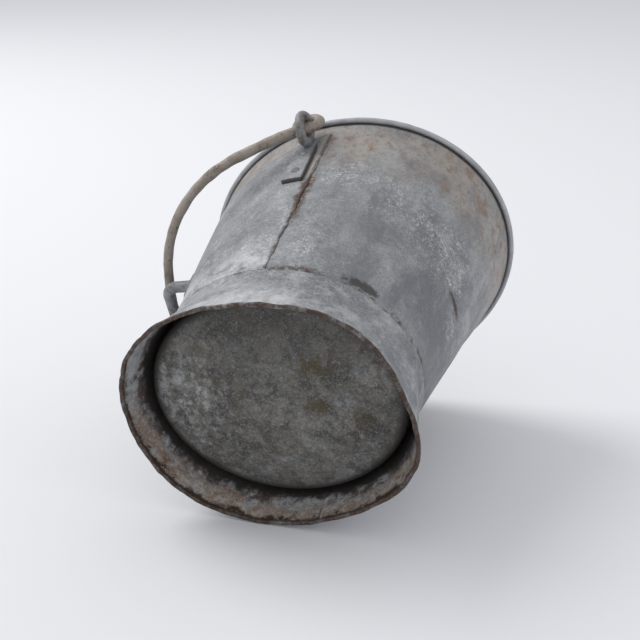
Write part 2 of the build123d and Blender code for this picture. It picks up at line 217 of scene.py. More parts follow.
# Each knock: angle round the pail, height, half-widths in degrees and metres, depth outwards.
WALL_KNOCKS = (
    (2.0, 0.162, 11.0, 0.0045, -0.0017),
    (4.0, 0.172, 14.0, 0.0090, 0.0010),
    (-38.0, 0.150, 12.0, 0.0300, -0.0010),
    (-62.0, 0.110, 9.0, 0.0200, -0.0008),
    (35.0, 0.230, 13.0, 0.0250, -0.0012),
    (70.0, 0.140, 12.0, 0.0220, -0.0012),
    (118.0, 0.190, 12.0, 0.0260, -0.0012),
    (148.0, 0.110, 9.0, 0.0180, -0.0010),
    (212.0, 0.105, 10.0, 0.0200, -0.0010),
    (236.0, 0.170, 10.0, 0.0260, -0.0007),
)
# Foot edge out of true, in metres: order of each wave round the foot, its cosine and sine parts.
FOOT_WAVES = (
    (1, -0.0015, 0.0018), (2, -0.0003, 0.0002), (3, -0.0003, 0.0002),
    (4, -0.0025, 0.0014), (5, -0.0006, 0.0006), (6, -0.0005, 0.0004),
)


def foot_knock(theta):
    """How far the foot edge stands out of its oval at angle theta: a sum of slow waves and a fine ripple."""
    waves = sum(a * np.cos(n * theta) + b * np.sin(n * theta) for n, a, b in FOOT_WAVES)
    return waves + 0.0003 * np.sin(17 * theta + 1.0) + 0.0002 * np.sin(31 * theta)


def turned(theta, centre_deg, width_deg):
    """Bell curve round the pail: 1 at the centre angle, falling off within the width."""
    away = (np.degrees(theta) - centre_deg + 180.0) % 360.0 - 180.0
    return np.exp(-((away / width_deg) ** 2))


def knocked(theta, z):
    """How far the wall stands out of true at angle theta and height z: a sum of bell-shaped
    knocks and a slow wave, fading out at the foot joint and at the mouth."""
    out = np.zeros(np.broadcast(theta, z).shape)
    for centre, height, width, tall, depth in WALL_KNOCKS:
        out = out + depth * turned(theta, centre, width) * np.exp(-(((z - height) / tall) ** 2))
    slow = 0.00035 * np.sin(3 * theta + 0.7) * np.sin(z * 31.0) + 0.0003 * np.sin(5 * theta - z * 24.0)
    fade = np.clip((z - 0.074) / 0.03, 0, 1) * np.clip((0.300 - z) / 0.05, 0, 1)
    return (out + slow) * fade


def wall_points(s, theta, z, out):
    """Point on the wall's oval at angle theta and height z, moved outwards by out along the
    level normal of the oval, and by the knocks in the sheet."""
    a, b = oval_axes(s, z)
    x, y = a * np.cos(theta), b * np.sin(theta)
    nx, ny = np.cos(theta) / a, np.sin(theta) / b
    grow = (out + knocked(theta, z)) / np.hypot(nx, ny)
    return stacked(x + nx * grow, y + ny * grow, z)


def mouth_height(s, theta, level, slope):
    """Height at which a plane that rises towards +X cuts the wall at angle theta."""
    rise = math.tan(slope)
    spread = (s.mouth_half_length - s.wall_foot_half_length) / (s.mouth_z - s.wall_foot_z)
    base = s.wall_foot_half_length - spread * s.wall_foot_z
    return (level + rise * np.cos(theta) * base) / (1 - rise * spread * np.cos(theta))


def grid_faces(rows, columns, wrap_rows, wrap_columns, offset=0):
    """Quads of a grid of points, closed on itself along rows or columns where it wraps."""
    r = np.arange(rows if wrap_rows else rows - 1)
    c = np.arange(columns if wrap_columns else columns - 1)
    r, c = np.meshgrid(r, c, indexing="ij")
    r2, c2 = (r + 1) % rows, (c + 1) % columns
    quads = np.stack([r * columns + c, r * columns + c2, r2 * columns + c2, r2 * columns + c], -1)
    return quads.reshape(-1, 4) + offset


def outward(points, quads):
    """The same quads turned so that the closed surface's volume is positive."""
    p = points[quads]
    volume = (p[:, 0] * np.cross(p[:, 1], p[:, 2])).sum() + (p[:, 0] * np.cross(p[:, 2], p[:, 3])).sum()
    return quads if volume > 0 else quads[:, ::-1]


def surface(points, wrap_rows=False):
    """A grid of points, whose columns close on themselves, as flat points and outward quads.
    A grid that is open along its rows is closed by a point at the middle of each end ring."""
    rows, columns = points.shape[:2]
    flat = points.reshape(-1, 3)
    quads = grid_faces(rows, columns, wrap_rows, True)
    if not wrap_rows:
        c, pole, end = np.arange(columns), np.full(columns, len(flat)), (rows - 1) * columns
        after = (c + 1) % columns
        first = np.stack([after, c, pole, pole], -1)
        last = np.stack([c + end, after + end, pole + 1, pole + 1], -1)
        flat = np.concatenate([flat, points[0].mean(0)[None], points[-1].mean(0)[None]])
        quads = np.concatenate([quads, first, last])
    return flat, outward(flat, quads)


def piece(name, surfaces, body, material, replaces=(), inside=None):
    """One object from one or more closed surfaces: whole arrays go into the mesh at once.
    inside holds one value per point, 1 on the hidden side of a sheet, for its finish to read."""
    points, quads, start = [], [], 0
    for flat, faces in surfaces:
        points.append(flat)
        quads.append(faces + start)
        start += len(flat)
    points, quads = np.concatenate(points), np.concatenate(quads)
    keep = quads != np.roll(quads, 1, axis=1)
    sizes = keep.sum(1)
    loops = quads[keep]
    mesh = bpy.data.meshes.new(name)
    mesh.vertices.add(len(points))
    mesh.vertices.foreach_set("co", points.astype(np.float32).ravel())
    mesh.loops.add(len(loops))
    mesh.loops.foreach_set("vertex_index", loops.astype(np.int32))
    mesh.polygons.add(len(sizes))
    mesh.polygons.foreach_set("loop_start", np.concatenate([[0], np.cumsum(sizes)[:-1]]).astype(np.int32))
    mesh.update(calc_edges=True)
    mesh.shade_smooth()
    if inside is not None:
        mesh.attributes.new("inside", "FLOAT", "POINT").data.foreach_set("value", inside.astype(np.float32))
    mesh.materials.append(material)
    made = bpy.data.objects.new(name, mesh)
    bpy.context.scene.collection.objects.link(made)
    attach(made, body)
    if replaces:
        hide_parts(*replaces)
    return made


def tube(path, plane_normal, radius, steps=28, closed=False):
    """Round rod along a flat path: at each point a circle in the plane of the path's normal
    and the flat's own normal. radius may be one value or one per point and step."""
    path = np.asarray(path, float)
    ahead = np.roll(path, -1, 0) - np.roll(path, 1, 0)
    if not closed:
        ahead[0], ahead[-1] = path[1] - path[0], path[-1] - path[-2]
    ahead /= np.linalg.norm(ahead, axis=1)[:, None]
    flat_normal = np.asarray(plane_normal, float) / np.linalg.norm(plane_normal)
    side = np.cross(ahead, flat_normal)
    side /= np.linalg.norm(side, axis=1)[:, None]
    turn = full_turn(steps)
    spoke = side[:, None] * np.cos(turn)[None, :, None] + flat_normal * np.sin(turn)[None, :, None]
    return path[:, None] + spoke * np.broadcast_to(radius, (len(path), steps))[..., None]


def forged(points, centres, amount, size, seed):
    """Hammer marks: each point moves along its spoke from the rod's middle by a smooth field."""
    spoke = points - centres[:, None]
    return points + spoke * (amount * lumps(points, size, seed))[..., None]


def rounded_bar(width, thick, corner, steps):
    """Section of a flat bar, across and outwards: four quarter circles of the corner's radius
    joined by flats, each wide flat cut into the given steps."""
    turn = np.linspace(0, np.pi / 2, 6)
    arc_x, arc_y = width / 2 - corner + corner * np.cos(turn), thick / 2 - corner + corner * np.sin(turn)
    flat_x = np.linspace(arc_x[-1], -arc_x[-1], steps)[1:-1]
    half_x = np.concatenate([arc_x, flat_x, -arc_x[::-1]])
    half_y = np.concatenate([arc_y, np.full(steps - 2, thick / 2), arc_y[::-1]])
    return np.concatenate([half_x, -half_x]), np.concatenate([half_y, -half_y]) + thick / 2


def rounded_end(way, least):
    """Quarter-circle profile: 1 from a way of 1 on, falling to the root of least at 0."""
    return np.sqrt(np.clip(1 - (1 - np.clip(way, 0, 1)) ** 2, least, 1))


# ---- finishes ----
SEAM_FOOT = 0.071           # height of the jacket's lower edge
SEAM_LEAN = 0.020944        # run of the jacket's upright edges along X for each metre of height
MOUTH_RISE = 0.1317         # rise of the mouth's plane for each metre along X
JACKET_RISE = 0.4204        # the same for the jacket's top edge

# Each mark: its centre, its reach along X, Y and Z, and its strength.
# Patches of painted shade on the wall's outer side.
WALL_PAINTED_SHADE = (
    ((0.128, 0.010, 0.085), (0.050, 0.075, 0.075), 0.72),
    ((0.075, -0.100, 0.150), (0.040, 0.050, 0.035), 0.45),
)
WALL_CHALK = (
    ((0.040, -0.118, 0.225), (0.055, 0.04, 0.022), 1.0),
    ((0.094, -0.075, 0.205), (0.034, 0.05, 0.050), 0.7),
    ((0.028, -0.109, 0.108), (0.016, 0.03, 0.034), 1.0),
    ((0.131, -0.030, 0.195), (0.020, 0.030, 0.040), 1.0),
    ((0.133, 0.006, 0.150), (0.018, 0.016, 0.018), 1.0),
    ((0.130, 0.004, 0.144), (0.012, 0.011, 0.013), 1.0),
    ((0.116, -0.050, 0.200), (0.030, 0.035, 0.040), 0.8),
    ((-0.020, 0.125, 0.190), (0.060, 0.04, 0.050), 0.6),
    ((0.090, 0.090, 0.120), (0.040, 0.04, 0.030), 0.6),
)
BOTTOM_SPOTS = (
    ((0.0445, -0.0343, 0.024), (0.015, 0.014, 0.03), 0.9),
    ((0.0392, 0.0040, 0.023), (0.012, 0.010, 0.03), 0.9),
    ((0.0770, 0.0211, 0.026), (0.013, 0.011, 0.03), 0.6),
    ((-0.0545, -0.0545, 0.026), (0.016, 0.010, 0.03), 0.45),
    ((-0.0475, -0.0242, 0.024), (0.012, 0.009, 0.03), 0.45),
)


def tinted(tone, *factors):
    """A colour times one factor, or times one factor for each of red, green and blue."""
    factors = factors * 3 if len(factors) == 1 else factors
    return [factor * value for factor, value in zip(factors, tone)]


class Paint:
    """One material built up in coats: a colour, a roughness and a height over the object's own
    coordinates. Each noise takes the next seed, so the order of the noises sets the pattern."""

    def __init__(self, name):
        self.material = bpy.data.materials.new(name)
        self.material.use_nodes = True
        self.tree = self.material.node_tree
        self.tree.nodes.clear()
        self.place = self.node("ShaderNodeTexCoord").outputs["Object"]
        self.split = None
        self.seed = 0.0
        self.tone = None

    def node(self, kind, **settings):
        made = self.tree.nodes.new(kind)
        for key, value in settings.items():
            setattr(made, key, value)
        return made

    def join(self, value, socket):
        """Link a socket to a socket, or set a number or a colour on it."""
        if isinstance(value, bpy.types.NodeSocket):
            self.tree.links.new(value, socket)
        elif isinstance(value, (int, float)):
            socket.default_value = value
        else:
            value = tuple(value)
            socket.default_value = value + (1.0,) if len(value) == 3 and socket.type == "RGBA" else value

    def fill(self, made, **values):
        """Fill the named inputs of a node; an underscore stands for a space."""
        for key, value in values.items():
            self.join(value, made.inputs[key.replace("_", " ")])

    def calc(self, operation, a, b=0.0):
        made = self.node("ShaderNodeMath", operation=operation)
        self.join(a, made.inputs[0])
        self.join(b, made.inputs[1])
        return made.outputs["Value"]

    def times(self, *values):
        """Product of all values; plus is their sum and less the difference of two."""
        return functools.reduce(lambda a, b: self.calc("MULTIPLY", a, b), values)

    def plus(self, *values):
        return functools.reduce(lambda a, b: self.calc("ADD", a, b), values)

    def less(self, a, b):
        return self.calc("SUBTRACT", a, b)

    def axis(self, name):
        """One of the object's own coordinates, X, Y or Z."""
        if self.split is None:
            self.split = self.node("ShaderNodeSeparateXYZ")
            self.join(self.place, self.split.inputs[0])
        return self.split.outputs[name]

    def mapped(self, **settings):
        """The object's coordinates, moved and scaled."""
        made = self.node("ShaderNodeMapping")
        self.fill(made, Vector=self.place, **settings)
        return made.outputs["Vector"]

    def far(self, where):
        """Distance of a point from the origin."""
        made = self.node("ShaderNodeVectorMath", operation="LENGTH")
        self.join(where, made.inputs[0])
        return made.outputs["Value"]

    def noise(self, size, detail=6.0, rough=0.78, warp=0.0, stretch=None):
        """Cloudy noise whose largest features are about size across."""
        self.seed += 1.7
        where = self.mapped(Scale=stretch) if stretch else self.place
        made = self.node("ShaderNodeTexNoise", noise_dimensions="4D")
        self.fill(made, Vector=where, W=self.seed, Scale=1.0 / size, Detail=detail, Roughness=rough,
                  Distortion=warp)
        return made.outputs["Fac"]

    def spread(self, value, low, high, to_low=0.0, to_high=1.0):
        """A smooth step: to_low up to low, to_high from high on; low may lie above high."""
        made = self.node("ShaderNodeMapRange", interpolation_type="SMOOTHSTEP")
        self.fill(made, Value=value, From_Min=low, From_Max=high, To_Min=to_low, To_Max=to_high)
        return made.outputs["Result"]

    def patches(self, size, low, high, detail=6.0, rough=0.78, warp=0.0):
        """Soft-edged patches: the noise of this size, cut between two of its levels."""
        return self.spread(self.noise(size, detail, rough, warp), low, high)

    def ragged(self, value, amount, size, detail=5.0, rough=0.7):
        """The value with up to the amount added or taken off by a noise of this size."""
        return self.plus(value, self.spread(self.noise(size, detail, rough), 0.25, 0.75, -amount, amount))

    def spot(self, centre, reach, soft=0.5, rag=0.5, size=0.012):
        """Ragged patch: 1 near its centre, falling to 0 at its reach along X, Y and Z."""
        moved = self.mapped(Location=[-c / r for c, r in zip(centre, reach)], Scale=[1.0 / r for r in reach])
        edge = self.ragged(self.far(moved), rag, size)
        return self.spread(edge, 1.0 - soft, 1.0 + soft * 0.3, 1.0, 0.0)

    def level(self, axis, start, end, rag=0.0, size=0.02, slope=0.0):
        """0 before start and 1 after end along an axis, with a ragged edge; slope tilts it along X."""
        value = self.axis(axis)
        if slope:
            value = self.less(value, self.times(self.axis("X"), slope))
        if rag:
            value = self.ragged(value, rag, size)
        return self.spread(value, start, end) if start < end else self.spread(value, end, start, 1.0, 0.0)

    def oval(self, half_length, half_width):
        """Distance from the upright axis, 1 on the oval with these half-lengths."""
        return self.far(self.mapped(Scale=(1 / half_length, 1 / half_width, 0)))

    def inside(self):
        """1 on the hidden side of a sheet, 0 on its outer side."""
        return self.node("ShaderNodeAttribute", attribute_name="inside").outputs["Fac"]

    def blend(self, amount, under, top):
        made = self.node("ShaderNodeMix", data_type="RGBA")
        self.join(amount, made.inputs["Factor"])
        self.join(under, made.inputs[6])
        self.join(top, made.inputs[7])
        return made.outputs[2]

    def coat(self, tone, *masks):
        """Lay a colour over the coats so far, as strongly as the product of the masks."""
        self.tone = self.blend(self.times(*masks), self.tone, tone)

    def finish(self, rough, height, depth, metal=0.25):
        """Principled shader over all coats; height times depth is the relief in metres."""
        shader = self.node("ShaderNodeBsdfPrincipled")
        bump = self.node("ShaderNodeBump")
        self.fill(bump, Strength=1.0, Distance=depth, Height=height)
        self.fill(shader, Base_Color=self.tone, Roughness=rough, Metallic=metal, Specular_IOR_Level=0.4,
                  Normal=bump.outputs["Normal"])
        self.fill(self.node("ShaderNodeOutputMaterial"), Surface=shader.outputs["BSDF"])
        return self.material


def zinc_ground(p, c, contrast=1.0):
    """Old zinc: faint clouds and smears, then mottle, speckle and fine grain over three greys."""
    clouds = p.noise(0.085, 3.0, 0.55, 0.4)
    smears = p.noise(0.026, 7.0, 0.74, 0.4)
    mottle = p.noise(0.0105, 5.0, 0.80)
    speckle = p.noise(0.0046, 4.0, 0.85)
    grain = p.noise(0.0018, 3.0, 0.90)
    p.tone = p.blend(p.spread(clouds, 0.36, 0.62, 0.20, 1.0), c.zinc_dark, c.zinc)
    p.coat(c.zinc_pale, p.spread(smears, 0.50, 0.66), 0.45 * contrast)
    p.coat(c.zinc_dark, p.spread(smears, 0.48, 0.33), 0.42 * contrast)
    for field, swing, amount in ((mottle, 0.16, 0.20), (speckle, 0.16, 0.28), (grain, 0.12, 0.34)):
        p.coat(c.zinc_pale, p.spread(field, 0.50, 0.50 + swing), amount * contrast)
        p.coat(tinted(c.zinc_dark, 0.5), p.spread(field, 0.50, 0.50 - swing), amount * contrast)
    return smears, speckle


def chalk_dust(p):
    """Clusters of fine white dots."""
    return p.times(p.patches(0.0022, 0.47, 0.58, 3.0, 0.85), p.patches(0.0085, 0.43, 0.60))


def past_seam(p):
    """Place along X, counted from the jacket's leaning upright edge."""
    return p.less(p.axis("X"), p.times(p.less(p.axis("Z"), SEAM_FOOT), SEAM_LEAN))


def wall_finish(c):
    """Wall: blue-grey zinc, patches of painted shade, a cream and brown stain below the rim, chalky patches,
    a crust of rust beside the jacket's edge, a scuff, a rusty crease, and lines of painted shadow under the
    mouth roll and above the jacket."""
    p = Paint("old_zinc_wall")
    smears, speckle = zinc_ground(p, c)
    fine = p.noise(0.0016, 3.0, 0.8)
    outer = p.less(1.0, p.inside())
    bands = p.noise(0.045, 5.0, 0.62, 0.6, (1.0, 1.0, 0.45))
    p.coat(c.zinc_dark, p.spread(bands, 0.50, 0.38), 0.70)
    p.coat(c.zinc_pale, p.spread(bands, 0.53, 0.66), 0.50)
    # Painted shade: darker patches on the wall's outer side.
    for centre, reach, strength in WALL_PAINTED_SHADE:
        p.coat(c.zinc_dark, p.spot(centre, reach, 0.95, 0.4, 0.03), outer, strength)
    under_rim = p.level("Z", 0.212, 0.268, 0.020, 0.04, slope=0.13)
    blotch = p.patches(0.03, 0.38, 0.66, 6.0, 0.72)
    p.coat(c.cream, under_rim, p.spread(blotch, 0.0, 1.0, 0.35, 0.90))
    p.coat(c.rust_bright, under_rim, p.patches(0.014, 0.51, 0.64, 7.0), 0.85)
    p.coat(c.rust_bright, p.spot((0.143, -0.044, 0.297), (0.012, 0.012, 0.012), 0.9, 0.7, 0.006), 0.8)
    p.coat(c.zinc_dark, under_rim, p.spread(speckle, 0.50, 0.34), 0.6)
    chalk = chalk_dust(p)
    for centre, reach, strength in WALL_CHALK:
        p.coat(c.chalk, p.spot(centre, reach, 0.9, 0.6), chalk, outer, strength)
    edge = p.ragged(past_seam(p), 0.0035, 0.012, 6.0, 0.75)
    crust = p.times(p.spread(edge, 0.0125, 0.0065), p.level("Z", 0.135, 0.158), p.level("Z", 0.232, 0.212),
                    p.level("Y", -0.02, -0.04), outer)
    p.coat(c.rust, crust, p.patches(0.006, 0.36, 0.52), 0.9)
    p.coat(c.cream, crust, p.patches(0.0035, 0.53, 0.64, 4.0, 0.8), 0.8)
    flecks = p.spot((0.030, -0.100, 0.0745), (0.026, 0.03, 0.0055), 0.8, 0.6, 0.006)
    p.coat(c.rust, flecks, outer, p.patches(0.004, 0.44, 0.54, 5.0, 0.8), 0.9)
    crease = p.spot((0.134, -0.007, 0.1665), (0.012, 0.017, 0.0026), 0.5, 0.35, 0.006)
    p.coat(c.rust, crease, outer, 0.9)
    scuff = p.spot((0.085, -0.078, 0.080), (0.020, 0.018, 0.006), 0.4, 0.4, 0.006)
    p.coat(c.grime_and_shade, scuff, outer, 0.8)
    joint = p.level("Z", 0.079, 0.0715, 0.003, 0.012)
    p.coat(c.rust, joint, outer, p.patches(0.009, 0.45, 0.62, 5.0, 0.7))
    # Painted shadow: a dark line on the wall just below the rolled mouth edge, in the gap under the roll.
    p.coat(c.grime_and_shade, p.level("Z", 0.3068, 0.3092, 0.0006, 0.02, MOUTH_RISE), outer, 0.92)
    # Painted shadow: a dark strip on the wall just above the jacket's sloping top edge.
    jacket_edge_shadow = p.times(p.level("Z", 0.2900, 0.2904, slope=JACKET_RISE),
                           p.level("Z", 0.2945, 0.2918, slope=JACKET_RISE), p.level("X", 0.004, 0.003))
    p.coat(c.grime_and_shade, jacket_edge_shadow, outer, 0.75)
    low_inside = p.times(p.level("Z", 0.055, 0.038, 0.006, 0.02), p.less(1.0, outer))
    p.coat(c.rust, low_inside, p.spread(blotch, 0.0, 1.0, 0.4, 0.9))
    height = p.plus(p.times(speckle, 0.5), p.times(fine, 0.3), p.times(smears, 1.2))
    return p.finish(p.spread(smears, 0.3, 0.7, 0.66, 0.46), height, 0.00045)


def jacket_finish(c):
    """Jacket: paler blue-grey zinc with rust beside its upright edges and along its foot."""
    p = Paint("old_zinc_jacket")
    smears, speckle = zinc_ground(p, c)
    p.coat(c.cream, p.level("X", -0.0005, 0.0020), p.level("Z", 0.205, 0.222, 0.006, 0.015), 0.7)
    seam = past_seam(p)
    broad = p.times(p.spread(p.ragged(seam, 0.004, 0.010, 6.0, 0.75), -0.0035, 0.0015),
                    p.level("Z", 0.160, 0.172), p.level("Z", 0.218, 0.208))
    p.coat(c.rust, p.spread(seam, 0.0006, 0.0024), 0.75)
    p.coat(c.rust, broad, p.patches(0.006, 0.34, 0.52, 6.0, 0.75), 0.95)
    p.coat(c.rust, p.level("Z", 0.0800, 0.0722, 0.003, 0.012), p.patches(0.010, 0.42, 0.60, 5.0, 0.7))
    p.coat(c.chalk, chalk_dust(p), p.patches(0.05, 0.47, 0.62, 3.0, 0.6), 0.8)
    low = p.level("Z", 0.130, 0.082, 0.012, 0.03)
    p.coat(c.chalk, low, p.spread(smears, 0.38, 0.64), 0.60)
    p.coat(c.chalk, low, p.patches(0.0030, 0.52, 0.62, 4.0, 0.85), 0.7)
    height = p.plus(p.times(speckle, 0.6), p.times(smears, 1.2))
    return p.finish(p.spread(smears, 0.3, 0.7, 0.64, 0.44), height, 0.00045)


def foot_finish(c):
    """Foot band: pale zinc outside, with painted shade low on the pouring side and a chalky painted
    highlight towards -Y; inside grey, white and tan, black painted shadow in the deep corner and flaking
    brown along the rolled edge."""
    p = Paint("old_zinc_foot")
    smears, speckle = zinc_ground(p, c, 1.15)
    inner = p.inside()
    outer = p.less(1.0, inner)
    p.coat(c.zinc_pale, inner, 0.75)
    # Painted shade: the band's outside darker low on the pouring side.
    p.coat(c.zinc_dark, p.spot((0.128, 0.015, 0.055), (0.065, 0.095, 0.060), 0.95, 0.4, 0.03), outer, 0.70)
    white = p.patches(0.024, 0.44, 0.66, 7.0, 0.80, 0.5)
    p.coat(c.chalk, white, p.plus(p.times(inner, 0.65), p.times(outer, 0.45)))
    p.coat(c.chalk, inner, p.patches(0.0035, 0.50, 0.62, 4.0, 0.85), 0.6)
    # Partly chalk, partly a painted highlight: chalky white along the band's outside towards -Y.
    chalk_and_highlight = p.spot((0.012, -0.113, 0.014), (0.075, 0.030, 0.022), 0.9, 0.5)
    p.coat(c.chalk, chalk_and_highlight, outer, p.spread(smears, 0.36, 0.56, 0.4, 1.0), 0.8)
    p.coat(tinted(c.zinc_dark, 0.6), inner, p.patches(0.010, 0.46, 0.60), 0.45)
    p.coat(c.rust_bright, inner, p.patches(0.014, 0.52, 0.64, 7.0, 0.8),
           p.level("Z", 0.030, 0.012, 0.008, 0.02), 0.75)
    p.coat(tinted(c.rust, 0.9), p.level("Z", 0.016, 0.027, 0.008, 0.014), inner,
           p.patches(0.018, 0.42, 0.56), 0.88)
    # Painted shadow: the band's inside black above the bottom plate, in the deep groove against the wall.
    p.coat(c.grime_and_shade, p.level("Z", 0.025, 0.034, 0.004, 0.014), inner, 0.97)
    lower = p.level("Y", -0.05, 0.030, 0.02, 0.03)
    stain = p.times(p.level("Z", 0.0260, 0.013, 0.010, 0.016), inner, lower)
    p.coat(c.tan, stain, p.patches(0.020, 0.38, 0.52, 7.0, 0.80), 0.90)
    p.coat(tinted(c.cream, 1.35), stain, p.patches(0.005, 0.49, 0.58, 5.0, 0.8), 0.80)
    p.coat(tinted(c.rust_bright, 0.8), stain, p.patches(0.011, 0.52, 0.62, 6.0, 0.8), 0.85)
    flakes = p.times(p.level("Z", 0.0100, 0.0050, 0.006, 0.014), inner, p.level("Y", -0.07, 0.0, 0.02, 0.03))
    p.coat(tinted(c.rust, 0.6), flakes, p.patches(0.013, 0.45, 0.50, 7.0, 0.80), 0.97)
    p.coat(c.grime_and_shade, inner, p.patches(0.0045, 0.44, 0.34, 5.0, 0.8), 0.6)
    p.coat(c.grime_and_shade, p.spot((0.019, 0.130, 0.010), (0.0012, 0.03, 0.02), 0.5, 0.3, 0.008), inner, 0.8)
    edge = p.level("Z", 0.0058, 0.0040, 0.0010, 0.008)
    p.coat(tinted(c.rust, 0.75), edge, p.spread(p.noise(0.012, 6.0, 0.75), 0.34, 0.54, 0.45, 0.97))
    p.coat(c.rust_bright, edge, p.patches(0.0055, 0.54, 0.64, 5.0, 0.8), 0.6)
    p.coat(c.rust, p.level("Z", 0.0672, 0.0703, 0.001, 0.010), p.patches(0.011, 0.50, 0.64, 5.0, 0.7), 0.8)
    height = p.plus(p.times(speckle, 0.8), smears, p.times(stain, 0.8))
    return p.finish(p.spread(smears, 0.3, 0.7, 0.72, 0.50), height, 0.0007)


def bottom_finish(c):
    """Bottom plate: dark speckled zinc with painted shade towards -Y, paler towards one end, brown spots,
    and black painted shadow at its rim.
    """
    p = Paint("dark_zinc_bottom")
    clouds = p.noise(0.07, 4.0, 0.6, 0.5)
    mottle = p.noise(0.012, 6.0, 0.8)
    speckle = p.noise(0.0026, 5.0, 0.88)
    grain = p.noise(0.0015, 3.0, 0.88)
    smear = p.noise(0.028, 7.0, 0.75, 0.5)
    dark = tinted(c.bottom, 0.30)
    p.tone = p.blend(p.spread(clouds, 0.35, 0.65, 0.55, 1.0), dark, c.bottom)
    for field, low, high, tone, strength in (
        (smear, 0.50, 0.40, dark, 0.80),
        (smear, 0.51, 0.62, c.zinc, 0.70),
        (mottle, 0.49, 0.38, dark, 0.60),
        (mottle, 0.51, 0.62, tinted(c.cream, 0.70), 0.55),
        (speckle, 0.52, 0.66, c.zinc_pale, 0.50),
        (speckle, 0.49, 0.37, tinted(dark, 0.5), 0.55),
    ):
        p.coat(tone, p.spread(field, low, high), strength)
    # Painted shade: the plate darker towards -Y.
    p.coat(dark, p.spot((0.020, -0.100, 0.026), (0.125, 0.085, 0.06), 0.95, 0.3, 0.03), 0.72)
    pale_end = p.spot((-0.090, -0.015, 0.026), (0.050, 0.08, 0.05), 0.9, 0.4)
    p.coat(c.zinc_pale, pale_end, p.patches(0.009, 0.46, 0.60, 6.0, 0.8), 0.7)
    p.coat(tinted(c.rust, 1.3, 1.6, 1.1), p.patches(0.030, 0.46, 0.64, 6.0, 0.75), 0.30)
    for centre, reach, strength in BOTTOM_SPOTS:
        p.coat(tinted(c.rust, 0.95, 1.25, 0.75), p.spot(centre, reach, 0.9, 0.6, 0.008), strength)
    p.coat(c.zinc_pale, p.spread(grain, 0.56, 0.70), 0.55)
    p.coat(tinted(dark, 0.5), p.spread(grain, 0.45, 0.32), 0.55)
    # Painted shadow: black towards the plate's rim, in the groove inside the foot band.
    rim = p.plus(p.oval(0.1189, 0.1013), p.spread(mottle, 0.3, 0.7, -0.012, 0.012))
    p.coat(c.grime_and_shade, p.spread(rim, 0.90, 0.975), 0.93)
    height = p.plus(speckle, p.times(grain, 0.5))
    return p.finish(p.spread(clouds, 0.3, 0.7, 0.70, 0.55), height, 0.0006, metal=0.15)


def strap_finish(c):
    """Ear strap: zinc on its face and painted shade along its side and lower edges."""
    p = Paint("zinc_strap")
    smears, speckle = zinc_ground(p, c)
    # Painted shade: dark strips along the strap's side edge towards +X and along its lower edge.
    for axis, start, end in (("X", -0.0022, -0.0006), ("Z", 0.2124, 0.2110)):
        p.coat(c.grime_and_shade, p.level(axis, start, end, 0.0003, 0.01), 0.9)
    p.coat(c.rust, p.level("X", -0.0060, 0.0, 0.003, 0.01), p.patches(0.01, 0.50, 0.64, 5.0, 0.7), 0.6)
    return p.finish(0.55, p.plus(p.times(speckle, 0.6), smears), 0.0005)


def iron_finish(name, c, main, brown, zinc, size):
    """Forged iron under worn zinc: grey where the zinc is left, brown in patches, dark pits."""
    p = Paint(name)
    patches = p.noise(size, 6.0, 0.7, 0.6)
    pits = p.noise(0.0028, 4.0, 0.75)
    p.tone = p.blend(p.spread(patches, 0.40, 0.62), main, zinc)
    p.coat(brown, p.spread(patches, 0.50, 0.34), 0.8)
    p.coat(c.grime_and_shade, p.spread(pits, 0.46, 0.30), 0.75)
    p.coat(c.zinc_pale, p.spread(pits, 0.56, 0.72), 0.4)
    height = p.plus(p.times(pits, 0.8), p.times(patches, 1.6))
    return p.finish(p.spread(patches, 0.3, 0.7, 0.68, 0.48), height, 0.0006, metal=0.3)


def rim_finish(c):
    """Rolled mouth edge: rubbed light-grey zinc with brown flecks."""
    p = Paint("rubbed_zinc_rim")
    smears = p.noise(0.018, 5.0, 0.7)
    flecks = p.noise(0.003, 4.0, 0.75)
    p.tone = p.blend(p.spread(smears, 0.36, 0.64, 0.35, 1.0), c.zinc, c.zinc_pale)
    p.coat(c.zinc_pale, p.spread(flecks, 0.54, 0.72), 0.6)
    p.coat(c.rust, p.patches(0.02, 0.60, 0.70, 5.0, 0.7), 0.6)
    return p.finish(0.5, p.plus(p.times(flecks, 0.6), p.times(smears, 0.8)), 0.0004, metal=0.3)


# ---- operators ----
def mouth_roll(s):
    """Rolled mouth edge: a tube along the oval in which the mouth's plane cuts the grown wall,
    a little uneven in girth."""
    rise = math.tan(s.mouth_slope)
    taper = (s.mouth_half_length - s.wall_foot_half_length) / (s.mouth_z - s.wall_foot_z)
    grow = s.roll - s.sheet - s.roll_inset
    front = (s.mouth_half_length + grow) / (1 - taper * rise)
    back = (s.mouth_half_length + grow) / (1 + taper * rise)
    middle = (front - back) / 2
    a, b = oval_axes(s, s.mouth_z + middle * rise)
    half_width = (b + grow) * math.sqrt(1 - (middle / (a + grow)) ** 2)
    t = full_turn(2 * s.around)
    x = middle + (front + back) / 2 * np.cos(t)
    path = np.stack([x, half_width * np.sin(t), s.mouth_z + rise * x], -1)
    normal = (-math.sin(s.mouth_slope), 0, math.cos(s.mouth_slope))
    girth = 0.9 * s.roll * (1 + 0.02 * np.sin(9 * t))
    return forged(tube(path, normal, girth[:, None], 24, closed=True), path, 0.018, 0.014, 11)


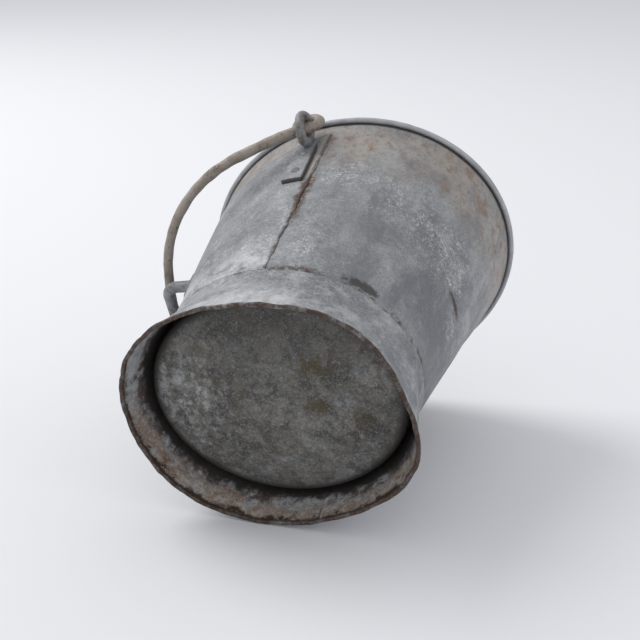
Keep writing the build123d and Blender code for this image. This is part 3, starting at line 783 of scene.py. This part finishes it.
class MakeWall(bpy.types.Operator):
    """Build the tapered oval wall with its slanted, rolled mouth"""

    bl_idname = "pail.make_wall"
    bl_label = "Wall and rolled mouth"

    def execute(self, context):
        s, c = context.scene.pail_sizes, context.scene.pail_colours
        theta = full_turn(s.around)[None]
        top = mouth_height(s, theta, s.mouth_z, s.mouth_slope)
        foot = s.wall_foot_z + s.seat_gap
        up = np.linspace(0, 1, s.tall)[:, None]
        z = foot + up * (top - foot)
        outer = wall_points(s, theta, z, 0.0)
        inner = wall_points(s, theta, z, -s.sheet)[::-1]
        sheet = surface(np.concatenate([outer, inner]), wrap_rows=True)
        inside = np.repeat([0.0, 1.0], outer.size // 3)
        piece("pail_wall", [sheet], "pail", wall_finish(c), ["body_wall"], inside)
        roll = surface(mouth_roll(s), wrap_rows=True)
        piece("mouth_roll", [roll], "pail", rim_finish(c), ["rim_wire"])
        return {"FINISHED"}


class MakeJacket(bpy.types.Operator):
    """Build the second sheet that wraps the handle side"""

    bl_idname = "pail.make_jacket"
    bl_label = "Jacket"

    def execute(self, context):
        s, c = context.scene.pail_sizes, context.scene.pail_colours
        across = np.linspace(-1, 1, 2 * s.around // 3)[:, None]
        up = np.linspace(0, 1, 100)[None]
        lean = math.tan(s.jacket_lean)
        z = s.jacket_foot_z + up * (s.jacket_top_z - s.jacket_foot_z)
        for _ in range(3):
            a, _b = oval_axes(s, z)
            seam = s.jacket_seam_x + lean * (z - s.jacket_foot_z)
            ragged = 0.0006 * np.sin(z * 190.0 + across) + 0.0004 * np.sin(z * 470.0)
            reach = np.pi - np.arccos((seam + ragged * np.abs(across) ** 20) / a)
            theta = np.pi + across * reach
            top = mouth_height(s, theta, s.jacket_top_z, s.jacket_slope)
            z = s.jacket_foot_z + up * (top - s.jacket_foot_z)
        near, far = s.fit, s.fit + s.jacket_sheet
        outer = wall_points(s, theta, z, far)
        inner = wall_points(s, theta, z, near)
        flat, quads = closed_sheet(inner, outer)
        piece("jacket", [(flat, quads)], "pail", jacket_finish(c), ["back_jacket"])
        return {"FINISHED"}


def closed_sheet(inner, outer):
    """Two open grids of the same shape joined round their edge into one closed sheet."""
    rows, columns = inner.shape[:2]
    count = rows * columns
    flat = np.concatenate([outer.reshape(-1, 3), inner.reshape(-1, 3)])
    front = grid_faces(rows, columns, False, False)
    back = grid_faces(rows, columns, False, False, count)[:, ::-1]
    r, c = np.arange(rows), np.arange(columns)
    border = np.concatenate([c[:-1], r[:-1] * columns + columns - 1,
                             (rows - 1) * columns + c[:0:-1], r[:0:-1] * columns])
    after = np.roll(border, -1)
    sides = np.stack([after, border, border + count, after + count], -1)
    quads = np.concatenate([front, back, sides])
    return flat, outward(flat, quads)


def foot_roll(s):
    """Rolled foot edge: a tube along the foot's oval, moved by its knocks and kept above the ground."""
    t = full_turn(2 * s.around)
    girth = 0.82 * s.foot_roll
    a, b = s.foot_half_length - girth, s.foot_half_width - girth
    u, v = np.cos(t) / a, np.sin(t) / b
    n = np.hypot(u, v)
    knock = foot_knock(t)
    x, y = a * np.cos(t) + u / n * knock, b * np.sin(t) + v / n * knock
    path = np.stack([x, y, np.full(t.shape, girth)], -1)
    roll = tube(path, (0, 0, 1), girth * (0.97 + 0.03 * np.sin(11 * t))[:, None], 20, closed=True)
    roll = forged(roll, path, 0.05, 0.009, 21)
    roll[..., 2] = np.maximum(roll[..., 2], 0.0)
    return roll


class MakeFoot(bpy.types.Operator):
    """Build the flared foot band with its collar and its knocked, rolled edge"""

    bl_idname = "pail.make_foot"
    bl_label = "Foot band"

    def execute(self, context):
        s, c = context.scene.pail_sizes, context.scene.pail_colours
        theta = full_turn(s.around)[None]
        z = np.linspace(s.foot_roll, s.collar_z, 40)[:, None]
        k = (z - s.foot_roll) / (s.collar_z - s.foot_roll)
        high_a, high_b = oval_axes(s, s.collar_z)
        low = s.foot_sheet / 2 - s.foot_roll
        a = (s.foot_half_length + low) * (1 - k) + (high_a + s.fit + s.foot_sheet) * k
        b = (s.foot_half_width + low) * (1 - k) + (high_b + s.fit + s.foot_sheet) * k
        shift = foot_knock(theta) * (1 - k) ** 1.25
        x, y = np.cos(theta), np.sin(theta)
        level = np.hypot(x / a, y / b)
        nx, ny = x / a / level, y / b / level

        def flare(out):
            out = shift + out
            return stacked(a * x + nx * out, b * y + ny * out, z)

        collar_z = np.linspace(s.collar_z, s.foot_top_z, 12)[:, None]
        collar_out = wall_points(s, theta, collar_z, s.fit + s.foot_sheet)
        collar_in = wall_points(s, theta, collar_z, s.fit)
        outer = np.concatenate([flare(0.0), collar_out[1:]])
        inner = np.concatenate([flare(-s.foot_sheet), collar_in[1:]])
        band = surface(np.concatenate([outer, inner[::-1]]), wrap_rows=True)
        roll = foot_roll(s)
        inside = np.zeros(len(band[0]) + roll.size // 3)
        inside[outer.size // 3:len(band[0])] = 1.0
        piece("foot_band_sheet", [band, surface(roll, wrap_rows=True)], "pail",
              foot_finish(c), ["foot_band", "foot_wire"], inside)
        return {"FINISHED"}


class MakeBottom(bpy.types.Operator):
    """Build the domed bottom plate with its turned-up edge"""

    bl_idname = "pail.make_bottom"
    bl_label = "Bottom plate"

    def execute(self, context):
        s, c = context.scene.pail_sizes, context.scene.pail_colours
        theta = full_turn(240)[None]
        a, b = oval_axes(s, s.wall_foot_z)
        edge_a, edge_b = a + s.fit + s.bottom_sheet, b + s.fit + s.bottom_sheet
        corner = s.bottom_corner
        knee = edge_b - corner
        rise = s.wall_foot_z - corner - s.bottom_centre_z
        r = np.linspace(0.004, 1, 60) * knee
        dome = s.bottom_centre_z + rise * (0.04 * r / knee + 0.96 * (r / knee) ** 2)
        turn = np.linspace(0, np.pi / 2, 12)[1:]
        dome_end = s.bottom_centre_z + rise
        low_r = np.concatenate([r, knee + corner * np.sin(turn)])
        low_z = np.concatenate([dome, dome_end + corner * (1 - np.cos(turn))])
        inner = corner - s.bottom_sheet
        high_r = np.concatenate([r, knee + inner * np.sin(turn)])
        high_z = np.concatenate([dome, dome_end + inner * (1 - np.cos(turn))]) + s.bottom_sheet

        def ring(radius, height):
            radius, height = radius[:, None], height[:, None]
            x = radius / edge_b * edge_a * np.cos(theta)
            y = radius * np.sin(theta)
            lift = 0.0004 * lumps(stacked(x, y, 0.0), 0.06, 31)
            fade = np.clip((knee - radius) / 0.02, 0, 1)
            return stacked(x, y, height + lift * fade)

        up = np.linspace(s.wall_foot_z, s.wall_foot_z + s.bottom_flange, 8)[1:, None]
        flange_out = wall_points(s, theta, up, s.fit + s.bottom_sheet)
        flange_in = wall_points(s, theta, up, s.fit)
        rows = [ring(low_r, low_z), flange_out, flange_in[::-1], ring(high_r, high_z)[::-1]]
        plate = surface(np.concatenate(rows))
        piece("bottom_dome", [plate], "pail", bottom_finish(c), ["bottom_plate"])
        return {"FINISHED"}


EAR_CUT = 0.0012             # length over which the strap's foot thins to its edge
EAR_ROUND = 0.007            # length over which its top narrows to a round end
EAR_NECK = (0.054, 0.018)    # where the strap starts to narrow towards the eye, and over what length


def ear_surfaces(s, side):
    """Strap: a flat-bar section carried up the jacket. Eye: a round rod bent to a ring."""
    z = np.linspace(s.ear_foot_z, s.ear_top_z, 60)[:, None]
    up, down = z - s.ear_foot_z, s.ear_top_z - z
    taper = rounded_end(np.minimum(up / EAR_CUT, down / EAR_ROUND), 0.0004)
    across, out = rounded_bar(s.ear_width, s.ear_thick, 0.0006, 16)
    neck = 1 - 0.45 * np.clip((up - EAR_NECK[0]) / EAR_NECK[1], 0, 1) ** 1.5
    narrow = neck * np.where(up > down, taper, 1 - 0.06 * (1 - taper))
    thin = np.where(up < EAR_CUT, 0.3 + 0.7 * taper, 1.0)
    x = s.ear_x + across[None] * narrow
    a, _b = oval_axes(s, z)
    theta = np.arccos(np.clip(x / a, -1, 1)) * side
    strap = wall_points(s, theta, z + 0 * x, 2 * s.fit + s.jacket_sheet + out[None] * thin)
    t = full_turn(96)
    radius = s.eye_ring - s.eye_swell
    y, z = side * s.eye_y + radius * np.cos(t), s.eye_z + radius * np.sin(t)
    path = np.stack([np.full(t.shape, s.ear_x), y, z], -1)
    ring = tube(path, (1, 0, 0), s.eye_rod + s.eye_swell, 24, closed=True)
    ring = forged(ring, path, 0.030, 0.012, 40 + side)
    return surface(strap), surface(ring, wrap_rows=True)


class MakeEars(bpy.types.Operator):
    """Build both forged ears: a strap and a standing eye"""

    bl_idname = "pail.make_ears"
    bl_label = "Ears"

    def execute(self, context):
        s, c = context.scene.pail_sizes, context.scene.pail_colours
        iron = iron_finish("forged_iron_ear", c, c.iron, c.rust, c.zinc, 0.02)
        zinc = strap_finish(c)
        for side, node in ((-1, "ear_right"), (1, "ear_left")):
            strap, ring = ear_surfaces(s, side)
            piece(node + "_strap", [strap], "pail", zinc, [node])
            piece(node + "_eye", [ring], "pail", iron)
        return {"FINISHED"}


def bail_path(s):
    """Centre line of the bail in its own flat: two legs, two shoulders and a crown, five
    arcs that meet without a kink, from one curl to the other."""
    leg, knee = s.bail_leg_turn, s.bail_leg_turn + s.bail_shoulder_turn
    across = s.eye_y - s.bail_shoulder * (math.cos(leg) - math.cos(knee))
    along = s.bail_reach - s.bail_shoulder * (math.sin(knee) - math.sin(leg))
    det = (1 - math.cos(leg)) * (1 - math.sin(knee)) - math.cos(knee) * math.sin(leg)
    leg_r = (across * (1 - math.sin(knee)) - math.cos(knee) * along) / det
    crown_r = ((1 - math.cos(leg)) * along - across * math.sin(leg)) / det
    arcs = [(leg_r, 0.0, leg, 60), (s.bail_shoulder, leg, knee, 80), (crown_r, knee, np.pi - knee, 90),
            (s.bail_shoulder, np.pi - knee, np.pi - leg, 80), (leg_r, np.pi - leg, np.pi, 60)]
    start, rows = np.array([s.eye_y, 0.0]), []
    for radius, begin, end, count in arcs:
        turn = np.linspace(begin, end, count)
        arc = radius * np.stack([np.cos(turn), np.sin(turn)], -1)
        arc = arc - arc[0] + start
        start = arc[-1]
        rows.append(arc[1:] if rows else arc)
    return np.concatenate(rows)


class MakeBail(bpy.types.Operator):
    """Build the bail: a round rod arch whose ends curl into closed rings through the eyes"""

    bl_idname = "pail.make_bail"
    bl_label = "Bail"

    def execute(self, context):
        s, c = context.scene.pail_sizes, context.scene.pail_colours
        hinge = np.array([s.ear_x, 0.0, s.eye_z + s.eye_ring])
        reach = np.array([-math.sin(s.bail_rest), 0.0, math.cos(s.bail_rest)])
        below = np.array([-reach[2], 0.0, reach[0]])
        side = np.array([0.0, 1.0, 0.0])
        flat = bail_path(s)
        path = hinge + flat[:, :1] * side + flat[:, 1:] * reach - s.bail_curl * below * np.sign(below[2])
        along = np.linspace(-1, 1, len(path))[:, None]
        rod = tube(path, below, s.bail_rod * (1 + 0.18 * np.abs(along) ** 3), 28)
        parts = [surface(forged(rod, path, 0.035, 0.016, 5))]
        t = full_turn(96)[:, None]
        for sign in (-1, 1):
            curl = hinge + sign * s.eye_y * side + s.bail_curl * (np.cos(t) * reach + np.sin(t) * below)
            ring = tube(curl, side, s.bail_rod + s.eye_swell, 24, closed=True)
            parts.append(surface(forged(ring, curl, 0.030, 0.012, 50 + sign), wrap_rows=True))
        finish = iron_finish("worn_zinc_bail", c, c.bail, tinted(c.cream, 0.42), tinted(c.cream, 0.92), 0.03)
        piece("bail_arch", parts, "bail_handle", finish, ["bail"])
        return {"FINISHED"}


PALM_ROUND = 0.006           # length over which a palm rounds off at its ends


class MakeTippingHandle(bpy.types.Operator):
    """Build the D-shaped tipping handle with its two flattened palms"""

    bl_idname = "pail.make_tipping_handle"
    bl_label = "Tipping handle"

    def execute(self, context):
        s, c = context.scene.pail_sizes, context.scene.pail_colours
        w, bend = s.grip_half_width, s.grip_bend
        a, b = oval_axes(s, s.grip_z)
        root = -a * math.sqrt(1 - (w / b) ** 2) - 0.0004
        corner = np.linspace(0, np.pi / 2, 16)
        leg = np.linspace(root, s.grip_x + bend, 12)
        half = np.concatenate([
            np.stack([leg, np.full(leg.shape, -w)], -1),
            np.stack([s.grip_x + bend - bend * np.sin(corner), -w + bend - bend * np.cos(corner)], -1)[1:],
            np.stack([np.full(12, s.grip_x), np.linspace(-w + bend, 0, 12)], -1)[1:],
        ])
        other = half[-2::-1] * np.array([1, -1])
        flat = np.concatenate([half, other])
        path = np.concatenate([flat, np.full((len(flat), 1), s.grip_z)], -1)
        rod = forged(tube(path, (0, 0, 1), s.grip_rod, 28), path, 0.03, 0.016, 8)
        parts = [surface(rod)]
        z = np.linspace(s.grip_z - s.palm_below, s.grip_z + s.palm_above, 44)[:, None]
        end = np.minimum(z - z[0], z[-1] - z) / PALM_ROUND
        narrow = 0.5 + 0.5 * rounded_end(end, 0.0004)
        thin = rounded_end(4 * end, 0.1)
        across, out = rounded_bar(s.palm_width, s.palm_thick, 0.0008, 16)
        for sign in (-1, 1):
            y = sign * w + across[None] * narrow
            a, b = oval_axes(s, z)
            theta = np.pi - np.arcsin(np.clip(y / b, -1, 1))
            stand = 2 * s.fit + s.jacket_sheet + out[None] * thin
            parts.append(surface(wall_points(s, theta, z + 0 * y, stand)))
        finish = iron_finish("dull_zinc_grip", c, c.grip, tinted(c.iron, 0.7), c.zinc, 0.018)
        piece("tipping_grip", parts, "pail", finish, ["tipping_handle"])
        return {"FINISHED"}


class PaintRivets(bpy.types.Operator):
    """Give the rivets and the solder bead their finishes"""

    bl_idname = "pail.paint_rivets"
    bl_label = "Rivets and solder"

    def execute(self, context):
        c = context.scene.pail_colours
        rivet = iron_finish("hammered_rivet", c, c.zinc_dark, c.iron, c.zinc, 0.006)
        solder = iron_finish("dull_solder", c, c.zinc_dark, c.iron, c.zinc, 0.02)
        for name in ("ear_rivets_right", "ear_rivets_left", "handle_rivets", "foot_band_rivets"):
            give(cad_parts[name], rivet)
        give(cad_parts["bottom_solder"], solder)
        return {"FINISHED"}


def give(node, material):
    node.data.materials.clear()
    node.data.materials.append(material)


def area_light(name, place, target, size, power, tint):
    """Round soft light at a place, turned towards a target."""
    lamp = bpy.data.lights.new(name, "AREA")
    lamp.shape, lamp.size, lamp.energy, lamp.color = "DISK", size, power, tint
    made = bpy.data.objects.new(name, lamp)
    made.location = place
    made.rotation_mode = "QUATERNION"
    made.rotation_quaternion = (Vector(target) - Vector(place)).to_track_quat("-Z", "Y")
    bpy.context.scene.collection.objects.link(made)


CAMERA_PLACE = (0.4216, -0.5217, -0.7740)
CAMERA_RIGHT = (0.9286, 0.2371, 0.2856)      # direction to the right in the camera's view
CAMERA_DOWN = (-0.0640, 0.8601, -0.5061)     # and downwards
LIT_POINT = (0.0, 0.0, 0.15)                 # where both lights point, inside the pail
# Steps from there to each light: up from the floor, to the right, and away over the floor.
KEY_STEPS = (3.1, -2.7, 1.4)
FILL_STEPS = (1.2, 1.6, -0.8)


class MakeStage(bpy.types.Operator):
    """Lay the pail on a pale floor, with soft light and the camera"""

    bl_idname = "pail.make_stage"
    bl_label = "Stage, lights and camera"

    def execute(self, context):
        g = context.scene.pail_stage
        right, down = np.array(CAMERA_RIGHT), np.array(CAMERA_DOWN)
        ahead = np.cross(right, down)
        down = np.cross(ahead, right)
        right, down, ahead = (v / np.linalg.norm(v) for v in (right, down, ahead))
        up = -math.cos(g.floor_tilt) * down - math.sin(g.floor_tilt) * ahead
        away = math.cos(g.floor_tilt) * ahead - math.sin(g.floor_tilt) * down
        lowest = min(float((verts(o) @ up).min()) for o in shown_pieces())
        under = up * lowest
        square = ((-1, -1), (1, -1), (1, 1), (-1, 1))
        corners = [under + g.floor_size * (i * right + j * away) for i, j in square]
        mesh = bpy.data.meshes.new("floor")
        mesh.from_pydata([tuple(v) for v in corners], [], [(0, 1, 2, 3)])
        floor = bpy.data.objects.new("floor", mesh)
        context.scene.collection.objects.link(floor)
        mesh.materials.append(floor_finish(g))
        floor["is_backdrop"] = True
        if np.dot(np.array(mesh.polygons[0].normal), up) < 0:
            mesh.flip_normals()
        for name, steps, size, power, tint in (
            ("key", KEY_STEPS, 3.2, g.key_power, (1.0, 0.99, 0.97)),
            ("fill", FILL_STEPS, 1.6, g.fill_power, (0.97, 0.98, 1.0)),
        ):
            place = LIT_POINT + np.array(steps) @ (up, right, away)
            area_light(name, place, LIT_POINT, size, power, tint)
        world = bpy.data.worlds.new("pale")
        world.use_nodes = True
        ground = world.node_tree.nodes["Background"]
        ground.inputs["Color"].default_value = tuple(g.world) + (1.0,)
        ground.inputs["Strength"].default_value = g.world_strength
        context.scene.world = world
        context.scene.view_settings.view_transform = "Standard"
        lens = bpy.data.cameras.new("camera")
        lens.lens, lens.sensor_width = g.lens, 36.0
        lens.clip_start, lens.clip_end = 0.01, 100.0
        camera = bpy.data.objects.new("camera", lens)
        turn = Matrix((right, -down, -ahead)).transposed().to_4x4()
        camera.matrix_world = Matrix.Translation(CAMERA_PLACE) @ turn
        context.scene.collection.objects.link(camera)
        context.scene.camera = camera
        return {"FINISHED"}


def verts(o):
    """Points of an object's mesh as rows."""
    flat = np.empty(len(o.data.vertices) * 3, np.float32)
    o.data.vertices.foreach_get("co", flat)
    return flat.reshape(-1, 3)


def floor_finish(g):
    """Matt pale floor that is seen from above only."""
    p = Paint("pale_floor")
    matt = p.node("ShaderNodeBsdfDiffuse")
    p.fill(matt, Color=g.floor)
    mix = p.node("ShaderNodeMixShader")
    p.fill(mix, Fac=p.node("ShaderNodeNewGeometry").outputs["Backfacing"])
    p.join(matt.outputs[0], mix.inputs[1])
    p.join(p.node("ShaderNodeBsdfTransparent").outputs[0], mix.inputs[2])
    p.fill(p.node("ShaderNodeOutputMaterial"), Surface=mix.outputs[0])
    return p.material


class PailPanel(bpy.types.Panel):
    """Lists the pail's sizes, colours and builders in the sidebar"""

    bl_idname = "PAIL_PT_builder"
    bl_label = "Milk pail"
    bl_space_type = "VIEW_3D"
    bl_region_type = "UI"
    bl_category = "Pail"

    def draw(self, context):
        for group in (context.scene.pail_sizes, context.scene.pail_colours, context.scene.pail_stage):
            box = self.layout.box()
            for key in group.bl_rna.properties.keys():
                if key not in ("rna_type", "name"):
                    box.prop(group, key)
        for maker in MAKERS:
            self.layout.operator(maker.bl_idname)


MAKERS = (MakeWall, MakeJacket, MakeFoot, MakeBottom, MakeEars, MakeBail, MakeTippingHandle,
          PaintRivets, MakeStage)
CLASSES = (PailSizes, PailColours, PailStage) + MAKERS + (PailPanel,)


def register():
    for item in CLASSES:
        bpy.utils.register_class(item)
    bpy.types.Scene.pail_sizes = PointerProperty(type=PailSizes)
    bpy.types.Scene.pail_colours = PointerProperty(type=PailColours)
    bpy.types.Scene.pail_stage = PointerProperty(type=PailStage)


def unregister():
    del bpy.types.Scene.pail_stage
    del bpy.types.Scene.pail_colours
    del bpy.types.Scene.pail_sizes
    for item in reversed(CLASSES):
        bpy.utils.unregister_class(item)


def main():
    register()
    for maker in MAKERS:
        group, name = maker.bl_idname.split(".")
        getattr(getattr(bpy.ops, group), name)()
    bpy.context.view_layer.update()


if __name__ == "__main__":
    main()
